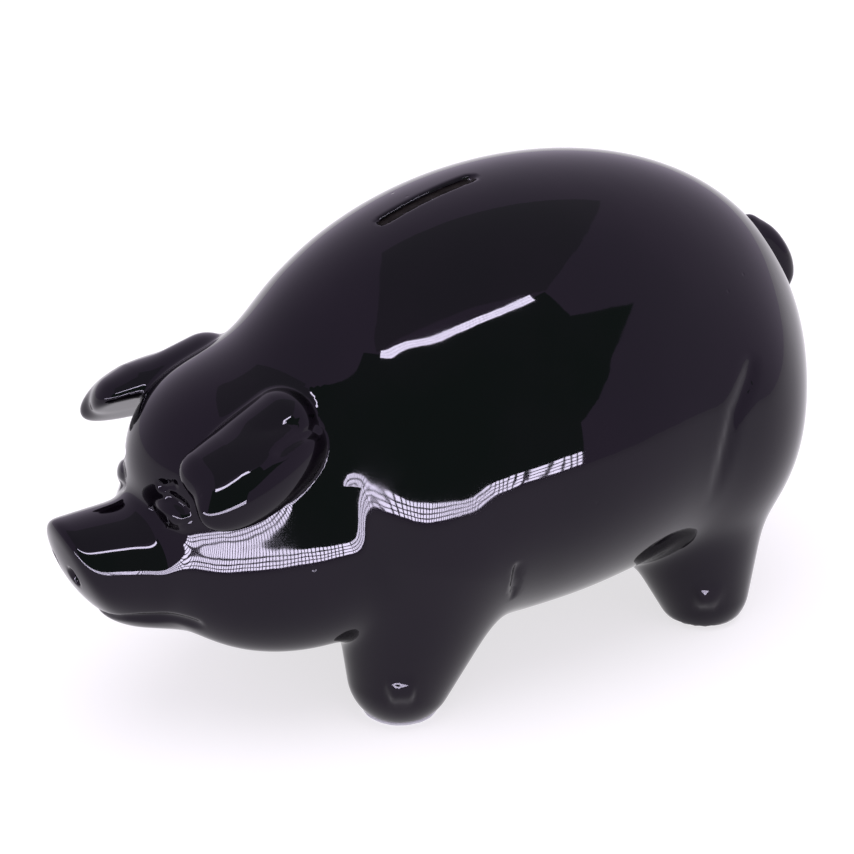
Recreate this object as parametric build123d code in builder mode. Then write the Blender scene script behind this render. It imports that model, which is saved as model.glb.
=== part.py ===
from build123d import *
import os

# Piggy bank: one hollow glazed ceramic casting on four short legs, closed under the belly by a
# soft rubber stopper and standing on four felt pads.
# Millimetres. +Z up, -Y towards the snout, +X the pig's left. The origin lies on the standing
# surface, midway between the snout and the tail.

os.makedirs("parts", exist_ok=True)

# ---------------------------------------------------------------- driving dimensions
wall = 5.0                 # thickness of the casting
smallest_hollow = 9.0      # half width below which the inside is left solid
pad_thickness = 1.2        # felt pads; the glazed feet start above them
pad_radius = 12.6

# Cross-sections of trunk and head, each an ellipse: y, half width, lowest z, highest z.
hull_sections = [
    (-128.0, 18.0, 43.0, 78.5),
    (-119.0, 20.5, 38.0, 80.5),
    (-108.0, 32.0, 32.5, 97.0),
    (-98.0, 42.5, 29.5, 109.0),
    (-80.0, 50.0, 28.0, 119.0),
    (-60.0, 54.5, 20.5, 131.0),
    (-36.0, 62.0, 14.5, 147.0),
    (-6.0, 68.0, 13.5, 158.0),
    (26.0, 72.0, 14.0, 161.5),
    (56.0, 71.0, 13.5, 159.0),
    (82.0, 68.0, 14.5, 150.0),
    (103.0, 59.0, 20.0, 138.0),
    (118.0, 45.0, 31.5, 125.5),
    (126.5, 29.0, 47.5, 111.0),
    (130.0, 14.0, 63.0, 96.0),
]
rump_point = (0.0, 131.5, 79.5)

# Snout disc: flat, leaning so that its upper rim is the foremost point of the pig.
snout_centre = (0.0, -136.0, 62.5)
snout_radius_x = 16.0
snout_radius_z = 17.5
snout_lean = 17.0
nostril_radius = 2.6
nostril_depth = 3.5
nostril_spacing = 11.0

# Legs, as circles from the foot up: x, y, z, radius.
front_leg = [
    (38.0, -42.5, pad_thickness, 11.5),
    (38.0, -42.5, 4.6, 15.6),
    (38.0, -42.2, 12.0, 17.8),
    (37.6, -36.5, 33.0, 22.0),
    (36.0, -28.0, 56.0, 25.0),
    (31.0, -24.0, 80.0, 23.0),
]
rear_leg = [
    (40.5, 78.5, pad_thickness, 11.5),
    (40.5, 78.5, 4.6, 15.2),
    (40.3, 78.4, 11.0, 17.0),
    (37.0, 77.0, 32.0, 23.0),
    (30.0, 74.0, 56.0, 29.0),
    (24.0, 72.0, 76.0, 30.0),
]
leg_floor = 9.0            # the casting is hollow down into the legs
leg_floor_taper = 2.0      # how much narrower the hollow is at its floor

# Ears: two lobes folded together, each an ellipsoid: centre, half sizes, rotation about X, Y, Z.
ear_upper = ((32.5, -87.0, 102.0), (8.5, 27.0, 10.0), (5.0, 0.0, -7.0))
ear_lower = ((37.5, -87.5, 92.0), (7.0, 23.0, 15.0), (8.0, -26.0, -8.0))

# Eyes: low domes under the brow.
eye = ((17.5, -112.0, 81.0), (5.0, 5.5, 4.0), (0.0, 0.0, 25.0))

# Mouth: a shallow groove round the lower jaw, rising towards the cheeks.
mouth_y = -117.5
mouth_z = 47.5
mouth_run = 19.0
mouth_tilt = 8.0
mouth_gap = 1.6
mouth_depth = 1.8
mouth_span = 80.0          # wider than the jaw, so that the groove runs right round it

# Tail: a short stub that curls down against the rump.
tail_points = [
    (0.0, 121.0, 114.0),
    (1.5, 130.0, 113.0),
    (3.0, 135.5, 106.0),
    (4.5, 135.0, 97.5),
    (5.5, 130.5, 92.0),
]
tail_radius = 5.3

# Coin slot in the back.
slot_length = 35.0
slot_width = 4.5
slot_y = -8.5
slot_cut_from = 130.0      # inside the hollow, below the back
slot_cut_height = 50.0

# Opening under the belly, with a collar inside and a flat seat for the stopper's flange.
stopper_y = 22.0
seat_z = 18.0
seat_radius = 21.0
collar_radius = 22.0
collar_top = 26.0
bore_radius = 16.05
bore_middle = 21.0
bore_height = 40.0         # through the collar and the casting

# Stopper: hollow rubber plug with a flange and a pull tab.
plug_radius = 16.0
plug_top = 26.5
plug_wall = 2.5
flange_radius = 19.5
flange_thickness = 2.5
tab_length = 16.0
tab_width = 3.0
tab_height = 3.5
plug_lead_in = 1.2         # chamfer on the plug's upper rim
flange_rounding = 1.0
tab_rounding = 0.8


upright_disc = Plane(origin=snout_centre, x_dir=(1, 0, 0), z_dir=(0, -1, 0))
snout_face = upright_disc.rotated((-snout_lean, 0, 0))


def ellipse_loft(inset):
    """Trunk and head as one smooth loft, made smaller all round by inset."""
    sections = []
    if inset == 0:
        with BuildSketch(snout_face) as disc:
            Ellipse(snout_radius_x, snout_radius_z)
        sections.append(disc.sketch)
    for y, half_width, low, high in hull_sections:
        middle = Plane(origin=(0, y, (low + high) / 2), x_dir=(1, 0, 0), z_dir=(0, -1, 0))
        if half_width - inset > smallest_hollow:
            with BuildSketch(middle) as ring:
                Ellipse(half_width - inset, (high - low) / 2 - inset)
            sections.append(ring.sketch)
    if inset == 0:
        sections.append(Vertex(*rump_point))
    with BuildPart() as loft_part:
        loft(sections=sections)
    return loft_part.part


def circle_loft(circles):
    """A leg as a smooth loft through horizontal circles."""
    with BuildPart() as loft_part:
        for x, y, z, radius in circles:
            with BuildSketch(Plane.XY.offset(z)):
                with Locations((x, y)):
                    Circle(radius)
        loft()
    return loft_part.part


def leg_hollow(circles):
    """The inside of a leg: the same loft less the wall, from a floor above the foot."""
    x, y, z, radius = circles[2]
    floor = (x, y, leg_floor, radius - wall - leg_floor_taper)
    return circle_loft([floor] + [(x, y, z, r - wall) for x, y, z, r in circles[3:]])


def ellipsoid(centre, half_sizes, turn):
    """An ellipsoid of the given half sizes, turned about X, Y and Z, then placed."""
    with BuildPart() as ball:
        Sphere(1.0)
        scale(by=half_sizes)
    shape = ball.part.rotate(Axis.X, turn[0]).rotate(Axis.Y, turn[1]).rotate(Axis.Z, turn[2])
    return shape.translate(centre)


def both_sides(shape):
    """The shape and its mirror image on the pig's other side."""
    return [shape, shape.mirror(Plane.YZ)]


# ---------------------------------------------------------------- body shell
with BuildPart() as tail:
    with BuildLine():
        curl = Spline(*tail_points)
    with BuildSketch(Plane(origin=curl @ 0, z_dir=curl % 0)):
        Circle(tail_radius)
    sweep()
    with Locations(tail_points[-1]):
        Sphere(tail_radius)

with BuildPart() as mouth:
    with Locations(Location((0, mouth_y, mouth_z), (mouth_tilt, 0, 0))):
        Box(mouth_span, mouth_run, mouth_gap)
    add(ellipse_loft(mouth_depth), mode=Mode.SUBTRACT)

with BuildPart() as body_shell:
    add(ellipse_loft(0.0))
    for leg in (front_leg, rear_leg):
        add(both_sides(circle_loft(leg)))
    for lobe in (ear_upper, ear_lower, eye):
        add(both_sides(ellipsoid(*lobe)))
    add(tail.part)
    # hollow casting
    add(ellipse_loft(wall), mode=Mode.SUBTRACT)
    for leg in (front_leg, rear_leg):
        add(both_sides(leg_hollow(leg)), mode=Mode.SUBTRACT)
    # collar, seat and bore of the belly opening
    with Locations((0, stopper_y, (seat_z + collar_top) / 2)):
        Cylinder(collar_radius, collar_top - seat_z)
    with Locations((0, stopper_y, seat_z / 2)):
        Cylinder(seat_radius, seat_z, mode=Mode.SUBTRACT)
    with Locations((0, stopper_y, bore_middle)):
        Cylinder(bore_radius, bore_height, mode=Mode.SUBTRACT)
    # coin slot
    with BuildSketch(Plane.XY.offset(slot_cut_from)):
        with Locations(Location((0, slot_y), 90)):
            SlotOverall(slot_length, slot_width)
    extrude(amount=slot_cut_height, mode=Mode.SUBTRACT)
    # nostrils and mouth
    with BuildSketch(snout_face):
        with GridLocations(nostril_spacing, 0, 2, 1):
            Circle(nostril_radius)
    extrude(amount=-nostril_depth, mode=Mode.SUBTRACT)
    add(mouth.part, mode=Mode.SUBTRACT)

# ---------------------------------------------------------------- belly stopper
with BuildPart() as belly_stopper:
    with Locations((0, stopper_y, seat_z - flange_thickness)):
        Cylinder(flange_radius, flange_thickness,
                 align=(Align.CENTER, Align.CENTER, Align.MIN))
        Cylinder(plug_radius, plug_top - seat_z + flange_thickness,
                 align=(Align.CENTER, Align.CENTER, Align.MIN))
    with Locations((0, stopper_y, seat_z)):
        Cylinder(plug_radius - plug_wall, plug_top - seat_z,
                 align=(Align.CENTER, Align.CENTER, Align.MIN), mode=Mode.SUBTRACT)
    rim = belly_stopper.edges().group_by(Axis.Z)[-1].sort_by(SortBy.LENGTH)[-1]
    chamfer(rim, plug_lead_in)
    fillet(belly_stopper.faces().sort_by(Axis.Z)[0].edges(), flange_rounding)
    # pull tab
    with Locations((0, stopper_y, seat_z - flange_thickness)):
        Box(tab_length, tab_width, tab_height,
            align=(Align.CENTER, Align.CENTER, Align.MAX))
    fillet(belly_stopper.faces().sort_by(Axis.Z)[0].edges(), tab_rounding)

body_shell.part.label = "body_shell"
belly_stopper.part.label = "belly_stopper"
export_step(body_shell.part, "parts/body_shell.step")
export_step(belly_stopper.part, "parts/belly_stopper.step")

# ---------------------------------------------------------------- felt pads
for end, leg in (("front", front_leg), ("rear", rear_leg)):
    for side, sign in (("left", 1), ("right", -1)):
        with BuildPart() as foot_pad:
            with Locations((sign * leg[0][0], leg[0][1], 0)):
                Cylinder(pad_radius, pad_thickness,
                         align=(Align.CENTER, Align.CENTER, Align.MIN))
        name = f"foot_pad_{end}_{side}"
        foot_pad.part.label = name
        export_step(foot_pad.part, f"parts/{name}.step")
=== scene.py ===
import math

import bpy
import numpy as np
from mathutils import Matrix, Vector


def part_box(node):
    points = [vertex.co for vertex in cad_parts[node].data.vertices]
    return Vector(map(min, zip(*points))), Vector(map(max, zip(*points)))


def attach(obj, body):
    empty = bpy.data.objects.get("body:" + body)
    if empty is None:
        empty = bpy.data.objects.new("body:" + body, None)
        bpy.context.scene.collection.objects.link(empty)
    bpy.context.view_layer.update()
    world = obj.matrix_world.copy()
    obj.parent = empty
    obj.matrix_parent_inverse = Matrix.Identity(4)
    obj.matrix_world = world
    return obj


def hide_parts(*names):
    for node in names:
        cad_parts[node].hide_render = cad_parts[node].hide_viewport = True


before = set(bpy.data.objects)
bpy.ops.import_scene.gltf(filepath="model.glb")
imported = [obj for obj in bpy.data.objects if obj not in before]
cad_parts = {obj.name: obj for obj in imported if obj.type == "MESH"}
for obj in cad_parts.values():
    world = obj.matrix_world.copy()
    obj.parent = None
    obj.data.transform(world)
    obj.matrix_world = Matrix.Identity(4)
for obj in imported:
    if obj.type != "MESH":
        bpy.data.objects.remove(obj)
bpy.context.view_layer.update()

# A glazed pottery pig bank. It is built in the CAD frame: the snout points to -Y, +X is the pig's left
# side, and +Z is up from the standing surface. Shapes are worked out in millimetres.
MM = 0.001
stopper_low, stopper_high = (np.array(corner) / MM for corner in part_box("belly_stopper"))
pad_names = sorted(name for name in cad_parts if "pad" in name)
pad_boxes = {name: [np.array(corner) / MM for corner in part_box(name)] for name in pad_names}

FOOT_BOTTOM = max(high[2] for low, high in pad_boxes.values())
STOPPER_Y = (stopper_low[1] + stopper_high[1]) / 2
FLANGE_RADIUS = (stopper_high[0] - stopper_low[0]) / 2
FLANGE_THICK = 2.5
TAB_DEPTH = 3.5
SEAT_Z = stopper_low[2] + TAB_DEPTH + FLANGE_THICK
SEAT_RADIUS = FLANGE_RADIUS + 1.5
PLUG_RADIUS = 16.0
BORE_RADIUS = 16.4
COLLAR_RADIUS = 22.0
COLLAR_TOP = 26.0
BORE_TOP = COLLAR_TOP + 10.0
SLOT_Y = -8.5
SLOT_LENGTH = 35.0
SLOT_WIDTH = 4.5
SLOT_FLOOR = 125.0

# ------------------------------------------------------------------ shapes as functions
# A shape is a function of points: below zero inside it, zero on its surface, above zero outside.


def smooth_min(a, b, blend):
    """The nearer of two surfaces, melted together over that distance: shapes joined."""
    h = np.maximum(blend - np.abs(a - b), 0.0) / blend
    return np.minimum(a, b) - h * h * h * blend / 6.0


def smooth_max(a, b, blend):
    """The farther of two surfaces with a rounded edge: the part that both shapes share."""
    return -smooth_min(-a, -b, blend)


def turned(rx, ry, rz):
    """Rotation matrix for degrees about X, then Y, then Z."""
    (cx, cy, cz), (sx, sy, sz) = np.cos(np.radians([rx, ry, rz])), np.sin(np.radians([rx, ry, rz]))
    about_x = np.array([[1, 0, 0], [0, cx, -sx], [0, sx, cx]])
    about_y = np.array([[cy, 0, sy], [0, 1, 0], [-sy, 0, cy]])
    about_z = np.array([[cz, -sz, 0], [sz, cz, 0], [0, 0, 1]])
    return about_z @ about_y @ about_x


def ellipsoid(p, centre, half, turn):
    """An ellipsoid of the given half sizes, turned and then placed."""
    half = np.array(half, float)
    q = (p - np.array(centre, float)) @ turned(*turn) / half
    k = np.sqrt((q * q).sum(1)) + 1e-9
    slope = np.sqrt(((q / half) ** 2).sum(1)) + 1e-9
    return k * (k - 1.0) / slope


def tapered(p, start, end, r_start, r_end):
    """A rod with round ends, thicker at one end than at the other."""
    start, end = np.array(start, float), np.array(end, float)
    axis = end - start
    length2 = axis @ axis
    taper = r_start - r_end
    side2 = length2 - taper * taper
    q = p - start
    along = q @ axis
    past = along - length2
    across2 = ((q * length2 - along[:, None] * axis) ** 2).sum(1)
    along2, past2 = along * along * length2, past * past * length2
    lean = np.sign(taper) * taper * taper * across2
    d = (np.sqrt(across2 * side2 / length2) + along * taper) / length2 - r_start
    at_start = np.sign(along) * side2 * along2 < lean
    at_end = np.sign(past) * side2 * past2 > lean
    d = np.where(at_start, np.sqrt(across2 + along2) / length2 - r_start, d)
    return np.where(at_end, np.sqrt(across2 + past2) / length2 - r_end, d)


def upright(p, centre, radius, low, high, round_edge):
    """An upright round post from low to high, with rounded edges."""
    out = np.hypot(p[:, 0] - centre[0], p[:, 1] - centre[1]) - radius
    up = np.abs(p[:, 2] - (low + high) / 2) - (high - low) / 2
    return smooth_max(out, up, round_edge)


def curve_through(points, steps=8):
    """Points along a smooth line (Catmull-Rom) through the given ones."""
    c = np.array(points, float)
    c = np.vstack([2 * c[0] - c[1], c, 2 * c[-1] - c[-2]])
    t = np.linspace(0, 1, steps, endpoint=False)[:, None]
    line = []
    for a, b, d, e in zip(c, c[1:], c[2:], c[3:]):
        line.append(b + 0.5 * t * (d - a + t * (2 * a - 5 * b + 4 * d - e + t * (3 * (b - d) + e - a))))
    return np.vstack(line + [c[-2:-1]])


def beside(p, points, reach):
    """Which points lie within reach of a line, their distance to it, and how far along they are."""
    line = curve_through(points)
    near = np.all((p > line.min(0) - reach) & (p < line.max(0) + reach), axis=1)
    q = p[near]
    nearest = np.full(len(q), 1e9)
    share = np.zeros(len(q))
    for i, (a, b) in enumerate(zip(line, line[1:])):
        s = np.clip((q - a) @ (b - a) / ((b - a) @ (b - a)), 0, 1)
        r2 = ((q - a - s[:, None] * (b - a)) ** 2).sum(1)
        closer = r2 < nearest
        nearest = np.where(closer, r2, nearest)
        share = np.where(closer, (i + s) / (len(line) - 1), share)
    return near, np.sqrt(nearest), share


def pressed(p, d, points, depth, width, fade_start=True, fade_end=True):
    """Presses a soft groove into a surface along a line; a negative depth raises a ridge."""
    near, r, share = beside(p, points, reach=3.0 * width)
    run_out = 0.3
    fade = np.ones(len(r))
    if fade_start:
        fade = fade * np.clip(share / run_out, 0, 1)
    if fade_end:
        fade = fade * np.clip((1 - share) / run_out, 0, 1)
    fade = fade * fade * (3 - 2 * fade)
    out = d.copy()
    out[near] += depth * fade * np.exp(-((r / width) ** 2))
    return out


def rope(p, points, r_start, r_end):
    """A round bar along a curve, its thickness changing evenly from one end to the other."""
    reach = 20.0
    near, r, share = beside(p, points, reach)
    d = np.full(len(p), reach)
    d[near] = r - (r_start + (r_end - r_start) * share)
    return d


def mirrored(p):
    """The same points with both sides of the pig folded onto its left side."""
    q = p.copy()
    q[:, 0] = np.abs(q[:, 0])
    return q


def both_sides(shape, p, blend):
    """The shape and its mirror image, melted together where they meet."""
    return smooth_min(shape(p), shape(p * np.array([-1.0, 1.0, 1.0])), blend)


# ------------------------------------------------------------------ the pig, in millimetres
# An ellipsoid is (centre, half sizes, turn in degrees); a tapered rod is (start, end, radius, radius).
WALL = 5.0
BACK = ((0, 24.5, 92), (61, 105, 69.5), (1.5, 0, 0))
RUMP = ((0, 78, 69), (68, 47, 57.5), (-1.5, 0, 0))
BELLY = ((0, 22.5, 75), (73.5, 109.5, 61), (6, 0, 0))
CHEST = ((0, -25.5, 71.5), (58, 18.5, 51), (16, 0, 0))
HEAD = ((0, -66.5, 83), (38.5, 48, 35.5), (-11.5, 0, 0))
JOWL = ((21, -65, 64.5), (27, 52, 37), (11, -27.5, -15.5))
SNOUT = ((0, -95.5, 53.5), (0, -140, 63), 24.7, 15.0)
SNOUT_FACE = (0, -140, 62)
SNOUT_LEAN = 18.0
SNOUT_DOME = 42.0
NOSTRIL = ((6.2, -140, 62), (2.2, 5, 3.2), (0, 0, 0))
MOUTH = [
    (0, -131, 45.5), (10.5, -128.5, 46.5), (15, -124, 47),
    (18, -117, 46.5), (25.5, -110.5, 46.5), (30.5, -107, 47),
]
CHIN = ((0, -111, 45.5), (15, 18, 8.5), (-3, 0, 0))
FRONT_LEG = ((32, -27, 63), (39, -43, 14), 35, 17.4)
REAR_LEG = ((26.5, 75, 60), (42.5, 77, 10.5), 34.5, 16.1)
EAR_ROLL = ((24.3, -76, 104.5), (29.5, -105, 98), 11.6, 8.2)
EAR_LEAF = ((36.3, -89, 97.2), (8.3, 25.5, 12), (18.5, -28.5, 5))
EAR_FOLD_FROM_TO, EAR_FOLD_BLEND = (-100, -86), (11, 1.2)
EAR_UNDER = ((23, -105, 101.5), (-0.64, -0.10, -0.76))
EAR_CREASE = [(35.5, -70, 106), (37.5, -76.5, 106.5), (39.5, -82, 106), (41.5, -89, 104.5)]
EYE = ((15.4, -106.9, 79.6), (8.8, 6.0, 5.8), (0, 10, 25))
BROW_LINE = [(10.5, -112.7, 88), (15, -110.5, 89.5), (18.5, -108.5, 91)]
UPPER_LID = [(13.5, -111.5, 86), (16.5, -110, 86), (20, -108.5, 84.5), (22.5, -107, 82.5)]
INNER_LID = [(8.5, -113.5, 81), (10.5, -113.5, 79), (14, -113, 77.5), (16.5, -112, 76.5)]
LOWER_LID = [(16.5, -112, 75.5), (20.5, -110.5, 77.5), (22.5, -108.5, 79.5), (23.5, -106.5, 81.5)]
FLANK_CREASE = [
    (59, 77, 107), (62.5, 75.5, 101), (66.5, 68.5, 93.5),
    (68.5, 64.5, 88.5), (70.5, 59.5, 74), (66.5, 57, 56),
]
ELBOW_CREASE = [(69, -18.5, 61.5), (66.5, -17.5, 53.5), (62, -15.5, 43)]
TOES = ([(51, -56, 16.5), (54, -52, 17), (56, -47, 16.5)], [(55.5, 63, 15), (56.5, 68, 15), (57, 73, 15)])
TAIL = [(0, 123, 118), (2, 129.5, 113.5), (4, 134, 107), (4.5, 136, 101), (4, 135.5, 96.5)]
TAIL_RADII = (5.5, 3.8)
# The neck is a tight fold up to the first height and melts softly into the back at the second one.
NECK_HEIGHTS, NECK_BLENDS = (88, 116), (4, 20)


def hull(p):
    """Trunk, head and snout, without ears, legs or tail."""
    trunk = ellipsoid(p, *BACK)
    trunk = smooth_min(trunk, ellipsoid(p, *RUMP), blend=20)
    trunk = smooth_min(trunk, ellipsoid(p, *BELLY), blend=20)
    trunk = smooth_min(trunk, ellipsoid(p, *CHEST), blend=24)
    jowls = both_sides(lambda q: ellipsoid(q, *JOWL), p, blend=14)
    head = smooth_min(ellipsoid(p, *HEAD), jowls, blend=16)
    lean = np.radians(SNOUT_LEAN)
    behind = np.array(SNOUT_FACE) + SNOUT_DOME * np.array([0, np.cos(lean), np.sin(lean)])
    dome = np.linalg.norm(p - behind, axis=1) - SNOUT_DOME
    snout = smooth_max(tapered(p, *SNOUT), dome, blend=5)
    head = smooth_min(head, snout, blend=9)
    return smooth_min(trunk, head, blend=np.interp(p[:, 2], NECK_HEIGHTS, NECK_BLENDS))


def legs(p, d, inset=0.0):
    """The four legs melted onto a shape; an inset makes them thinner, for the cavity."""
    m = mirrored(p)
    start, end, r_start, r_end = FRONT_LEG
    d = smooth_min(d, tapered(m, start, end, r_start - inset, r_end - inset), blend=10)
    start, end, r_start, r_end = REAR_LEG
    rear = both_sides(lambda q: tapered(q, start, end, r_start - inset, r_end - inset), p, blend=12)
    return smooth_min(d, rear, blend=8)


def face(m, d):
    """Eyes, lids, brows, mouth and nostrils, on points folded to one side."""
    d = smooth_min(d, ellipsoid(m, *CHIN), blend=5)
    d = pressed(m, d, MOUTH, depth=2.8, width=1.7, fade_start=False)
    d = smooth_max(d, -ellipsoid(m, *NOSTRIL), blend=1.6)
    d = smooth_min(d, ellipsoid(m, *EYE), blend=1.0)
    d = pressed(m, d, INNER_LID, depth=0.8, width=1.5)
    d = pressed(m, d, UPPER_LID, depth=1.1, width=1.5)
    d = pressed(m, d, LOWER_LID, depth=0.4, width=0.9)
    return pressed(m, d, BROW_LINE, depth=1.1, width=1.4)


def ears(m, d):
    """Each ear: a roll and a hanging leaf that fold apart towards the neck, flat underneath."""
    fold = np.interp(m[:, 1], EAR_FOLD_FROM_TO, EAR_FOLD_BLEND)
    ear = smooth_min(tapered(m, *EAR_ROLL), ellipsoid(m, *EAR_LEAF), blend=fold)
    ear = pressed(m, ear, EAR_CREASE, depth=1.3, width=1.5, fade_start=False)
    place, facing = EAR_UNDER
    under = (m - np.array(place)) @ np.array(facing)
    ear = smooth_max(ear, under, blend=4)
    return smooth_min(d, ear, blend=2.5)


def outside(p):
    """The glazed outer surface."""
    m = mirrored(p)
    d = legs(p, hull(p))
    d = pressed(m, d, FLANK_CREASE, depth=1.0, width=3.0)
    d = pressed(m, d, ELBOW_CREASE, depth=1.7, width=1.3)
    for toe in TOES:
        d = pressed(m, d, toe, depth=-2.3, width=3.3)
    d = face(m, d)
    d = ears(m, d)
    d = smooth_min(d, rope(p, TAIL, *TAIL_RADII), blend=3)
    return smooth_max(d, FOOT_BOTTOM - p[:, 2], blend=2)


def bank(p):
    """The whole pottery shell: the outer surface, the cavity, the coin slot and the belly opening."""
    outer = outside(p)
    cavity = legs(p, hull(p) + WALL, WALL)
    out = np.hypot(p[:, 0], p[:, 1] - STOPPER_Y)
    collar = smooth_max(out - COLLAR_RADIUS, p[:, 2] - COLLAR_TOP, blend=1.5)
    d = smooth_max(outer, -smooth_max(cavity, -collar, blend=1.5), blend=1.5)
    recess = smooth_max(out - SEAT_RADIUS, p[:, 2] - SEAT_Z, blend=0.8)
    bore = smooth_max(out - BORE_RADIUS, p[:, 2] - BORE_TOP, blend=0.8)
    d = smooth_max(d, -recess, blend=1.6)
    d = smooth_max(d, -bore, blend=1.6)
    straight = (SLOT_LENGTH - SLOT_WIDTH) / 2
    past = np.maximum(np.abs(p[:, 1] - SLOT_Y) - straight, 0)
    slot = np.hypot(p[:, 0], past) - SLOT_WIDTH / 2
    slot = smooth_max(slot, SLOT_FLOOR - p[:, 2], blend=1.0)
    return smooth_max(d, -slot, blend=2.5)


# ------------------------------------------------------------------ shape to mesh


def spaced(stops, steps):
    """Grid lines from the first stop to the last; each stretch between stops has its own spacing."""
    lines = [np.array([stops[0]], float)]
    for low, high, step in zip(stops, stops[1:], steps):
        lines.append(np.linspace(low, high, int(math.ceil((high - low) / step)) + 1)[1:])
    return np.concatenate(lines)


def sampled(shape, axes, block=4):
    """The shape's values on the whole grid, worked out finely only in blocks near its surface."""
    size = [len(a) for a in axes]
    starts = [np.arange(0, n, block) for n in size]
    low = [a[s] for a, s in zip(axes, starts)]
    high = [a[np.minimum(s + block, len(a) - 1)] for a, s in zip(axes, starts)]
    middle = [(a + b) / 2 for a, b in zip(low, high)]
    centres = np.stack(np.meshgrid(*middle, indexing="ij"), -1).reshape(-1, 3)
    reach = np.stack(np.meshgrid(*[(b - a) / 2 for a, b in zip(low, high)], indexing="ij"), -1)
    reach = np.linalg.norm(reach.reshape(-1, 3), axis=1)
    coarse = shape(centres)
    blocks = [len(s) for s in starts]
    near = (np.abs(coarse) < 1.5 * reach + 4.0).reshape(blocks)
    grid = coarse.reshape(blocks)
    for axis, n in enumerate(size):
        grid = np.repeat(grid, block, axis=axis).take(np.arange(n), axis=axis)
        near = np.repeat(near, block, axis=axis).take(np.arange(n), axis=axis)
    at = np.argwhere(near)
    batches = [np.stack([a[i] for a, i in zip(axes, part.T)], -1) for part in np.array_split(at, 24)]
    grid[tuple(at.T)] = np.concatenate([shape(batch) for batch in batches])
    return grid


def slopes(shape, p, step=0.12):
    """The direction in which the shape's value grows fastest, at each point."""
    g = np.empty_like(p)
    for axis in range(3):
        offset = np.zeros(3)
        offset[axis] = step
        g[:, axis] = (shape(p + offset) - shape(p - offset)) / (2 * step)
    return g


def surface(shape, axes):
    """Quads over the shape's surface, one point per grid cell (surface nets), pulled onto the surface."""
    grid = sampled(shape, axes)
    inside = grid < 0
    size = grid.shape
    stride = (size[1] * size[2], size[2], 1)
    cells, crossings = [], []
    for axis in range(3):
        ahead = [slice(None)] * 3
        behind = [slice(None)] * 3
        ahead[axis], behind[axis] = slice(1, None), slice(None, -1)
        a, b = inside[tuple(behind)], inside[tuple(ahead)]
        at = np.argwhere(a != b)
        leaving = a[tuple(at.T)]
        beyond = at.copy()
        beyond[:, axis] += 1
        va, vb = grid[tuple(at.T)], grid[tuple(beyond.T)]
        point = np.stack([line[i] for line, i in zip(axes, at.T)], -1)
        step = axes[axis][beyond[:, axis]] - point[:, axis]
        point[:, axis] += step * va / (va - vb)
        second, third = stride[(axis + 1) % 3], stride[(axis + 2) % 3]
        home = at @ np.array(stride)
        quad = np.stack([home - second - third, home - third, home, home - second], -1)
        quad[~leaving] = quad[~leaving][:, ::-1]
        cells.append(quad)
        crossings.append(point)
    cells, crossings = np.concatenate(cells), np.concatenate(crossings)
    _, corner = np.unique(cells, return_inverse=True)
    corner = corner.reshape(-1, 4)
    count = np.bincount(corner.ravel())
    places = [np.bincount(corner.ravel(), np.repeat(crossings[:, k], 4)) / count for k in range(3)]
    p = np.stack(places, -1)
    pulls, longest_move = 3, 0.8
    for _ in range(pulls):
        g = slopes(shape, p)
        move = shape(p)[:, None] * g / np.maximum((g * g).sum(1), 0.1)[:, None]
        p -= np.clip(move, -longest_move, longest_move)
    g = slopes(shape, p)
    return p, corner, g / np.linalg.norm(g, axis=1)[:, None]


def mesh_piece(name, points, faces, normals=None):
    """A smooth-shaded Blender mesh from points in millimetres."""
    mesh = bpy.data.meshes.new(name)
    mesh.from_pydata((points * MM).tolist(), [], faces.tolist() if hasattr(faces, "tolist") else faces)
    mesh.shade_smooth()
    if normals is not None:
        mesh.normals_split_custom_set_from_vertices(normals.tolist())
    obj = bpy.data.objects.new(name, mesh)
    bpy.context.scene.collection.objects.link(obj)
    return obj


def point_values(obj, name, values):
    """Keeps one number per mesh point, for the material to use."""
    obj.data.attributes.new(name, "FLOAT", "POINT").data.foreach_set("value", values.astype(np.float32))


# ------------------------------------------------------------------ materials


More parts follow.
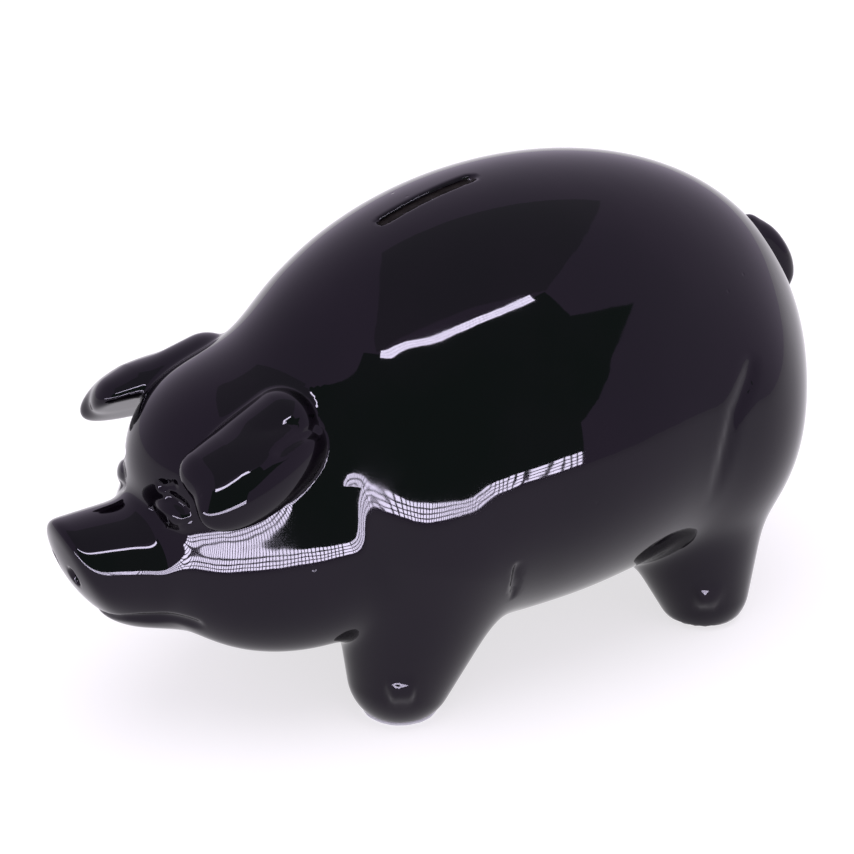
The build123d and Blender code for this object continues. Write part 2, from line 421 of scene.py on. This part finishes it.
class Nodes:
    """A node tree and short calls that add to it."""

    def __init__(self, name):
        self.material = bpy.data.materials.new(name)
        self.material.use_nodes = True
        self.tree = self.material.node_tree
        self.shader = self.tree.nodes["Principled BSDF"]
        self.place = self.add("ShaderNodeTexCoord").outputs["Object"]

    def add(self, kind, **inputs):
        node = self.tree.nodes.new(kind)
        for name, value in inputs.items():
            self.put(node.inputs[name.replace("_", " ")], value)
        return node

    def put(self, socket, value):
        if isinstance(value, bpy.types.NodeSocket):
            self.tree.links.new(value, socket)
        else:
            socket.default_value = value

    def noise(self, size, detail=2.0, roughness=0.5):
        """Soft noise whose lumps are about that many millimetres across."""
        grain = {"Scale": 1 / (size * MM), "Detail": detail, "Roughness": roughness}
        node = self.add("ShaderNodeTexNoise", Vector=self.place, **grain)
        return node.outputs["Fac"]

    def spread(self, value, low, high, to_low=0.0, to_high=1.0):
        """Maps low..high to to_low..to_high, held at both ends."""
        ends = {"From_Min": low, "From_Max": high, "To_Min": to_low, "To_Max": to_high}
        node = self.add("ShaderNodeMapRange", Value=value, **ends)
        node.interpolation_type = "SMOOTHSTEP"
        return node.outputs["Result"]

    def mixed(self, share, a, b):
        """A colour between a and b."""
        node = self.add("ShaderNodeMix")
        node.data_type = "RGBA"
        self.put(node.inputs["Factor"], share)
        for socket, value in ((node.inputs[6], a), (node.inputs[7], b)):
            self.put(socket, value if isinstance(value, bpy.types.NodeSocket) else (*value, 1.0))
        return node.outputs[2]

    def math(self, operation, a, b):
        node = self.add("ShaderNodeMath")
        node.operation = operation
        self.put(node.inputs[0], a)
        self.put(node.inputs[1], b)
        return node.outputs[0]

    def point_value(self, name):
        node = self.add("ShaderNodeAttribute")
        node.attribute_name = name
        return node.outputs["Fac"]

    def bump(self, height, depth_mm, under=None):
        """Surface relief of that depth, laid over another relief if one is given."""
        node = self.add("ShaderNodeBump", Height=height, Distance=depth_mm * MM)
        if under is not None:
            self.put(node.inputs["Normal"], under)
        return node.outputs["Normal"]

    def finish(self, **inputs):
        for name, value in inputs.items():
            self.put(self.shader.inputs[name.replace("_", " ")], value)
        return self.material


def glaze():
    """Near-black gloss glaze with a purple cast; bare dark clay where the attribute says unglazed."""
    n = Nodes("black_glaze")
    cloud = n.spread(n.noise(38, 3), 0.35, 0.65)
    colour = n.mixed(cloud, (0.0010, 0.0007, 0.0014), (0.0020, 0.0011, 0.0024))
    edge = n.spread(n.add("ShaderNodeNewGeometry").outputs["Pointiness"], 0.53, 0.60, 0.0, 0.4)
    colour = n.mixed(edge, colour, (0.020, 0.012, 0.016))
    clay = n.mixed(n.noise(2.5, 4), (0.040, 0.034, 0.031), (0.070, 0.060, 0.054))
    bare = n.point_value("unglazed")
    rough = n.spread(n.noise(22, 2), 0.35, 0.70, 0.022, 0.05)
    rough = n.math("MAXIMUM", rough, n.math("MULTIPLY", bare, 0.85))
    pits = n.add("ShaderNodeTexVoronoi", Vector=n.place, Scale=1 / (11 * MM))
    rare = n.math("GREATER_THAN", pits.outputs["Color"], 0.72)
    pit = n.math("MULTIPLY", n.spread(pits.outputs["Distance"], 0.03, 0.075, 1.0, 0.0), rare)
    relief = n.bump(n.noise(13, 1.5), 0.05)
    relief = n.bump(n.noise(3.2, 1.0), 0.0035, relief)
    relief = n.bump(n.math("MULTIPLY", pit, -1.0), 0.05, relief)
    relief = n.bump(n.math("MULTIPLY", n.noise(0.9, 3), bare), 0.12, relief)
    return n.finish(
        Base_Color=n.mixed(bare, colour, clay),
        Roughness=rough,
        IOR=1.35,
        Specular_Tint=(0.88, 0.80, 1.0, 1.0),
        Normal=relief,
    )


def rubber():
    """Soft matt black rubber."""
    n = Nodes("stopper_rubber")
    colour = n.mixed(n.noise(6, 3), (0.010, 0.010, 0.011), (0.022, 0.021, 0.022))
    rough = n.spread(n.noise(2.2, 3), 0.3, 0.7, 0.48, 0.66)
    relief = n.bump(n.noise(0.7, 3), 0.03)
    return n.finish(Base_Color=colour, Roughness=rough, IOR=1.5, Normal=relief)


def felt():
    """Pale pressed felt."""
    n = Nodes("pale_felt")
    colour = n.mixed(n.noise(0.6, 4), (0.50, 0.50, 0.55), (0.76, 0.76, 0.80))
    relief = n.bump(n.noise(0.35, 5), 0.12)
    relief = n.bump(n.noise(1.6, 2), 0.10, relief)
    return n.finish(Base_Color=colour, Roughness=0.95, Sheen_Weight=0.4, Normal=relief)


# ------------------------------------------------------------------ pieces


def dress(obj, material, body, slot, *nodes):
    """Gives a piece its material and its CAD body, and hides the CAD nodes that it stands for."""
    obj.data.materials.append(material)
    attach(obj, body)
    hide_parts(*nodes)


def glazed_body():
    """The pig itself. Grid lines lie closest round the eyes, snout and mouth."""
    coarse, middle, fine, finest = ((2.4, 1.4, 0.9, 0.6))
    axes = [
        spaced((-76, -50, -26, -6, 6, 26, 50, 76), (coarse, middle, finest, fine, finest, middle, coarse)),
        spaced((-150, -118, -98, -58, 12, 150), (fine, finest, middle, middle * 1.2, coarse)),
        spaced((-2, 42, 72, 94, 120, 166), (middle * 1.2, fine, finest, middle, middle * 1.2)),
    ]
    points, faces, normals = surface(bank, axes)
    obj = mesh_piece("glazed_body", points, faces, normals)
    # Glaze reaches a little way into the openings; the cavity and the soles of the feet are bare clay.
    depth = -outside(points)
    glaze_reach, glaze_fade = 1.2, 1.5
    unglazed = np.clip((depth - glaze_reach) / glaze_fade, 0, 1)
    sole_edge, faces_down = 0.6, -0.7
    sole = (points[:, 2] < FOOT_BOTTOM + sole_edge) & (normals[:, 2] < faces_down)
    point_values(obj, "unglazed", np.where(sole, 1.0, unglazed))
    dress(obj, glaze(), "bank", "glaze", "body_shell")


def stopper_shape(p):
    """Flange under the belly, ribbed hollow plug in the bore, and a finger tab below."""
    centre = (0, STOPPER_Y)
    out = np.hypot(p[:, 0], p[:, 1] - STOPPER_Y)
    top = stopper_high[2]
    flange = upright(p, centre, FLANGE_RADIUS, SEAT_Z - FLANGE_THICK, SEAT_Z, round_edge=1.6)
    rib_height, rib_depth, plug_wall, plug_lean = 2.4, 0.28, 2.8, 0.06
    ribs = rib_depth * np.cos(2 * np.pi * (p[:, 2] - SEAT_Z - rib_height / 2) / rib_height)
    lean = plug_lean * np.maximum(p[:, 2] - SEAT_Z, 0)
    plug = smooth_max(out - (PLUG_RADIUS - rib_depth) - ribs + lean, p[:, 2] - top, blend=1.4)
    plug = np.maximum(plug, SEAT_Z - 1 - p[:, 2])
    hollow = smooth_max(out - (PLUG_RADIUS - plug_wall), SEAT_Z + 1 - p[:, 2], blend=1.5)
    tab_half, tab_round = np.array([8.0, 1.5, 2.6]), 0.9
    tab_centre = np.array([0, STOPPER_Y, stopper_low[2] + tab_half[2]])
    q = np.abs(p - tab_centre) - (tab_half - tab_round)
    tab = np.linalg.norm(np.maximum(q, 0), axis=1) + np.minimum(q.max(1), 0) - tab_round
    grip_spacing, grip_depth, grip_reach = 1.3, 0.11, 7.0
    grip = grip_depth * np.cos(2 * np.pi * (p[:, 2] - stopper_low[2]) / grip_spacing)
    on_grip = np.clip(grip_reach - np.abs(p[:, 0]), 0, 1)
    d = smooth_min(flange, plug, blend=0.6)
    d = smooth_max(d, -hollow, blend=0.8)
    return smooth_min(d, tab + on_grip * grip, blend=1.2)


def rubber_stopper():
    """The belly stopper, meshed finer in height so that its ribs and grip lines show."""
    step = 0.7
    margin = 2
    low, high = stopper_low - margin, stopper_high + margin
    axes = [spaced((a, b), (step,)) for a, b in zip(low, high)]
    axes[2] = spaced((low[2], high[2]), (step * 0.6,))
    obj = mesh_piece("rubber_stopper", *surface(stopper_shape, axes))
    dress(obj, rubber(), "stopper", "stopper_rubber", "belly_stopper")


def felt_pad(name, low, high, material):
    """A die-cut felt disc, slightly uneven round the edge, with a softened rim."""
    centre = (low + high) / 2
    radius = (high[0] - low[0]) / 2
    thick = high[2] - low[2]
    around, rim_round = 96, 0.45
    turns = np.linspace(-1.45, 1.45, 7)
    rim = [(radius - rim_round * (1 - math.cos(t)), thick / 2 * math.sin(t)) for t in turns]
    profile = [(radius * s, -thick / 2) for s in (0.3, 0.6, 0.85)] + rim
    profile += [(radius * s, thick / 2) for s in (0.85, 0.6, 0.3)]
    rings = []
    for r, z in profile:
        angle = np.linspace(0, 2 * np.pi, around, endpoint=False)
        ragged = 0.05 * np.sin(7 * angle + centre[0]) + 0.04 * np.sin(17 * angle + centre[1])
        fuzz = 0.03 * np.sin(31 * angle + 9 * z)
        reach = np.minimum(r + (ragged + fuzz - 0.12) * (r > radius * 0.9), radius)
        rings.append(np.stack([reach * np.cos(angle), reach * np.sin(angle), np.full(around, z)], -1))
    points = np.concatenate(rings + [np.array([[0, 0, -thick / 2], [0, 0, thick / 2]])]) + centre
    faces = []
    for ring in range(len(profile) - 1):
        for k in range(around):
            a, b = ring * around + k, ring * around + (k + 1) % around
            faces.append((a, b, b + around, a + around))
    last = (len(profile) - 1) * around
    bottom, top = last + around, last + around + 1
    for k in range(around):
        after = (k + 1) % around
        faces.append((bottom, after, k))
        faces.append((top, last + k, last + after))
    obj = mesh_piece(name.replace("foot_pad", "felt_pad"), points, faces)
    dress(obj, material, "bank", "felt", name)


glazed_body()
rubber_stopper()
pad_felt = felt()
for pad in pad_names:
    felt_pad(pad, *pad_boxes[pad], pad_felt)

# ------------------------------------------------------------------ studio


def emitting(name, colour, strength):
    """A material that only glows."""
    material = bpy.data.materials.new(name)
    material.use_nodes = True
    nodes = material.node_tree.nodes
    nodes.remove(nodes["Principled BSDF"])
    glow = nodes.new("ShaderNodeEmission")
    glow.inputs["Color"].default_value = (*colour, 1.0)
    glow.inputs["Strength"].default_value = strength
    material.node_tree.links.new(glow.outputs[0], nodes["Material Output"].inputs["Surface"])
    return material


def toward(azimuth, elevation, reach):
    """A point that far from the origin, at that azimuth from -Y towards +X and that elevation."""
    a, e = math.radians(azimuth), math.radians(elevation)
    return Vector((math.sin(a) * math.cos(e), -math.cos(a) * math.cos(e), math.sin(e))) * reach


def reflections_only(obj):
    """The object is part of the stage, and shows only in what the glaze mirrors."""
    obj.visible_camera = False
    obj.visible_diffuse = False
    obj.visible_shadow = False


def card(name, faces, material):
    """A stage card seen only in reflections, from faces of (azimuth, elevation, reach) corners."""
    mesh = bpy.data.meshes.new(name)
    corners = [toward(*c) for f in faces for c in f]
    count = iter(range(len(corners)))
    mesh.from_pydata(corners, [], [[next(count) for _ in f] for f in faces])
    mesh.materials.append(material)
    obj = bpy.data.objects.new(name, mesh)
    bpy.context.scene.collection.objects.link(obj)
    reflections_only(obj)


def lamp_grid(azimuths, elevations, columns, rows, reach, bar):
    """The lit cells of a louvred strip lamp: columns by rows of small faces with dark bars between."""
    (a0, a1), (e0, e1) = azimuths, elevations
    wide, tall = (a1 - a0) / columns, (e1 - e0) / rows
    faces = []
    for i in range(columns):
        for j in range(rows):
            a, e = a0 + wide * i, e0 + tall * j
            b, f = a + wide * (1 - bar), e + tall * (1 - bar)
            faces.append([(a, e, reach), (b, e, reach), (b, f, reach), (a, f, reach)])
    return faces


CARD_REACH = 9.0
STRIP_REACH = 8.8
# The tent's dark front opening: its lower and upper edge by azimuth, with a pointed flap on the right.
LOWER_EDGE = ((36, 107, 108, 121, 137), (5, 5, 18, 25, 30))
UPPER_EDGE = ((36, 117, 118, 125, 137), (47, 47, 36, 34, 30))
dark_faces = []
for a in np.arange(36, 137, 1.0):
    b = a + 1.0
    low_a, low_b = np.interp((a, b), *LOWER_EDGE)
    high_a, high_b = np.interp((a, b), *UPPER_EDGE)
    edges = ((a, low_a), (b, low_b), (b, high_b), (a, high_a))
    dark_faces.append([(azimuth, elevation, CARD_REACH) for azimuth, elevation in edges])
card("dark_opening", dark_faces, emitting("dark_opening", (0.19, 0.32, 0.21), 1.0))
strip_glow = emitting("strip_glow", (0.95, 0.96, 1.0), 45.0)
upper_cells = lamp_grid((48, 112), (45.7, 48.8), columns=60, rows=3, reach=STRIP_REACH, bar=0.08)
lower_cells = lamp_grid((8, 107), (1.5, 7.5), columns=66, rows=4, reach=STRIP_REACH, bar=0.27)
card("upper_strip", upper_cells, strip_glow)
card("lower_strip", lower_cells, strip_glow)

# The tent's ceiling, darker than its walls: corners for a height of one.
CEILING_HEIGHT = 8.0
CEILING = ((0.64, -0.64), (0.82, 0.44), (-0.20, 0.88), (-0.47, -0.12))
ceiling_mesh = bpy.data.meshes.new("ceiling")
corners = [(x * CEILING_HEIGHT, y * CEILING_HEIGHT, CEILING_HEIGHT) for x, y in CEILING]
ceiling_mesh.from_pydata(corners, [], [(0, 1, 2, 3)])
ceiling_mesh.materials.append(emitting("grey_ceiling", (0.52, 0.53, 0.56), 1.0))
ceiling = bpy.data.objects.new("ceiling", ceiling_mesh)
bpy.context.scene.collection.objects.link(ceiling)
reflections_only(ceiling)

floor_mesh = bpy.data.meshes.new("floor")
span = 20.0
corners = [(-span, -span, 0), (span, -span, 0), (span, span, 0), (-span, span, 0)]
floor_mesh.from_pydata(corners, [], [(0, 1, 2, 3)])
floor = bpy.data.objects.new("floor", floor_mesh)
bpy.context.scene.collection.objects.link(floor)
paper = Nodes("pale_floor")
floor_mesh.materials.append(paper.finish(
    Base_Color=(0.36, 0.355, 0.365, 1.0),
    Roughness=0.95,
    Specular_IOR_Level=0.0,
    Emission_Color=(1.0, 0.985, 1.0, 1.0),
    Emission_Strength=0.70,
))
clear = paper.add("ShaderNodeBsdfTransparent")
two_sided = paper.add("ShaderNodeMixShader")
paper.put(two_sided.inputs[0], paper.add("ShaderNodeNewGeometry").outputs["Backfacing"])
paper.put(two_sided.inputs[1], paper.shader.outputs[0])
paper.put(two_sided.inputs[2], clear.outputs[0])
paper.put(paper.tree.nodes["Material Output"].inputs["Surface"], two_sided.outputs[0])

world = bpy.data.worlds.new("studio")
bpy.context.scene.world = world
world.use_nodes = True
tree = world.node_tree
tent = tree.nodes["Background"]
tent.inputs["Color"].default_value = (0.90, 0.80, 1.0, 1.0)
tent.inputs["Strength"].default_value = 0.86
backdrop = tree.nodes.new("ShaderNodeBackground")
backdrop.inputs["Color"].default_value = (1.0, 1.0, 1.0, 1.0)
backdrop.inputs["Strength"].default_value = 1.05
ray = tree.nodes.new("ShaderNodeLightPath")
choice = tree.nodes.new("ShaderNodeMixShader")
tree.links.new(ray.outputs["Is Camera Ray"], choice.inputs[0])
tree.links.new(tent.outputs[0], choice.inputs[1])
tree.links.new(backdrop.outputs[0], choice.inputs[2])
tree.links.new(choice.outputs[0], tree.nodes["World Output"].inputs["Surface"])

softbox = bpy.data.lights.new("softbox", "AREA")
softbox.shape = "DISK"
softbox.size = 3.0
softbox.energy = 60.0
overhead = bpy.data.objects.new("softbox", softbox)
overhead.location = (0.3, -0.4, 3.0)
overhead.rotation_euler = (math.radians(-7.6), math.radians(5.7), 0)
overhead.visible_glossy = False
overhead.visible_camera = False
bpy.context.scene.collection.objects.link(overhead)

bpy.context.scene.view_settings.view_transform = "Standard"

# ------------------------------------------------------------------ camera
CAMERA_AZIMUTH, CAMERA_ELEVATION = 58.0, 26.5
CAMERA_REACH = 0.800
CAMERA_TARGET = Vector((0, -0.0085, 0.076))
camera = bpy.data.objects.new("camera", bpy.data.cameras.new("camera"))
bpy.context.scene.collection.objects.link(camera)
back = toward(CAMERA_AZIMUTH, CAMERA_ELEVATION, 1.0)
camera.location = CAMERA_TARGET + back * CAMERA_REACH
camera.rotation_euler = (-back).to_track_quat("-Z", "Y").to_euler()
camera.data.sensor_width = 36.0
camera.data.lens = 102.2
camera.data.clip_start = 0.05
bpy.context.scene.camera = camera
